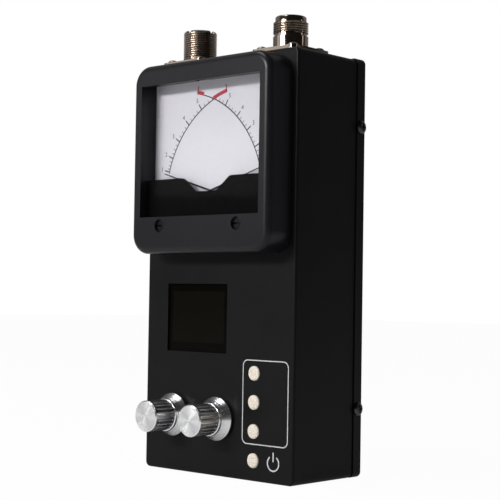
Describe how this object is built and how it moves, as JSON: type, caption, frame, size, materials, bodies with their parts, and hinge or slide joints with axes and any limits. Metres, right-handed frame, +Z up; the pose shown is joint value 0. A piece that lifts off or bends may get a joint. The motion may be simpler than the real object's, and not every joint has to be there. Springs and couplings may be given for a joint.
{
  "type": "antenna analyzer",
  "caption": "Hand-held radio test box with a cross-needle meter, small display, two turned metal knobs, push buttons and two threaded coaxial jacks on its top.",
  "frame": {"origin": "centre of the bottom face that the box stands on, midway between front panel and rear cover", "axes": "+X to the viewer's right, +Y to the back (the panel faces -Y), +Z up towards the jacks"},
  "size_m": [0.096, 0.0657, 0.2069],
  "materials": {
    "case_paint": "satin black baked paint",
    "cover_paint": "satin black baked paint",
    "black_screw": "black oxide",
    "meter_plastic": "satin moulded",
    "clear_lens": "clear",
    "dial_face": "matte white print",
    "mask_plastic": "gloss black",
    "movement_metal": "plain",
    "needle_paint": "matte black",
    "adjuster_plastic": "gloss black",
    "zinc_steel": "zinc plated",
    "display_glass": "tinted gloss",
    "module_card": "solder mask",
    "spun_aluminium": "spun, polished skirt",
    "control_metal": "plain",
    "button_cream": "fine matte",
    "switch_plastic": "matte",
    "circuit_card": "solder mask",
    "brass": "plain",
    "tinned_steel": "tinned",
    "holder_plastic": "moulded",
    "cell_wrap": "shrink wrap",
    "nickel": "nickel plated",
    "white_insulator": "turned",
    "gold_contact": "plated",
    "nickel_screw": "nickel plated"
  },
  "bodies": {
    "case": {"front_case": "case_paint", "rear_cover": "cover_paint", "side_screws": "black_screw", "meter_case": "meter_plastic", "meter_lens": "clear_lens", "meter_dial": "dial_face", "meter_mask": "mask_plastic", "movement_left": "movement_metal", "movement_right": "movement_metal", "meter_nuts": "zinc_steel", "display_window": "display_glass", "display_module": "module_card", "band_switch": "control_metal", "band_nut": "zinc_steel", "tune_control": "control_metal", "tune_nut": "zinc_steel", "tact_switches": "switch_plastic", "main_board": "circuit_card", "board_spacers": "brass", "board_screws": "zinc_steel", "shield_can": "tinned_steel", "battery_holder": "holder_plastic", "battery_cells": "cell_wrap", "so239_shell": "nickel", "so239_insulator": "white_insulator", "so239_contact": "gold_contact", "n_shell": "nickel", "n_insulator": "white_insulator", "n_contact": "gold_contact", "so239_screws": "nickel_screw", "n_screws": "nickel_screw"},
    "left_needle": {"needle_from_left": "needle_paint"},
    "right_needle": {"needle_from_right": "needle_paint"},
    "left_adjuster": {"zero_adjuster_left": "adjuster_plastic"},
    "right_adjuster": {"zero_adjuster_right": "adjuster_plastic"},
    "band_control": {"band_knob": "spun_aluminium", "band_shaft": "zinc_steel"},
    "tuning_control": {"tune_knob": "spun_aluminium", "tune_shaft": "zinc_steel"},
    "power_push": {"power_button": "button_cream"},
    "push_1": {"button_1": "button_cream"},
    "push_2": {"button_2": "button_cream"},
    "push_3": {"button_3": "button_cream"}
  },
  "joints": [
    {"name": "left_needle_swing", "type": "hinge", "parent": "case", "child": "left_needle", "pos_m": [-0.0195, -0.0293, 0.123], "axis": [0, -1, 0], "range_deg": [0, 60], "stiffness_Nm_per_rad": 0.0001, "springref_deg": -11.46},
    {"name": "right_needle_swing", "type": "hinge", "parent": "case", "child": "right_needle", "pos_m": [0.0195, -0.0305, 0.123], "axis": [0, 1, 0], "range_deg": [0, 60], "stiffness_Nm_per_rad": 0.0001, "springref_deg": -11.46},
    {"name": "left_adjuster_turn", "type": "hinge", "parent": "case", "child": "left_adjuster", "pos_m": [-0.024, -0.0355, 0.1129], "axis": [0, -1, 0], "continuous": true},
    {"name": "right_adjuster_turn", "type": "hinge", "parent": "case", "child": "right_adjuster", "pos_m": [0.024, -0.0355, 0.1129], "axis": [0, -1, 0], "continuous": true},
    {"name": "band_turn", "type": "hinge", "parent": "case", "child": "band_control", "pos_m": [-0.027, -0.0237, 0.0259], "axis": [0, -1, 0], "range_deg": [-90, 90]},
    {"name": "tuning_turn", "type": "hinge", "parent": "case", "child": "tuning_control", "pos_m": [0.001, -0.0237, 0.0259], "axis": [0, -1, 0], "range_deg": [-150, 150]},
    {"name": "power_press", "type": "slide", "parent": "case", "child": "power_push", "axis": [0, 1, 0], "range_m": [0, 0.0005], "stiffness_N_per_m": 2000, "springref_m": -0.0003},
    {"name": "press_1", "type": "slide", "parent": "case", "child": "push_1", "axis": [0, 1, 0], "range_m": [0, 0.0005], "stiffness_N_per_m": 2000, "springref_m": -0.0003},
    {"name": "press_2", "type": "slide", "parent": "case", "child": "push_2", "axis": [0, 1, 0], "range_m": [0, 0.0005], "stiffness_N_per_m": 2000, "springref_m": -0.0003},
    {"name": "press_3", "type": "slide", "parent": "case", "child": "push_3", "axis": [0, 1, 0], "range_m": [0, 0.0005], "stiffness_N_per_m": 2000, "springref_m": -0.0003}
  ]
}
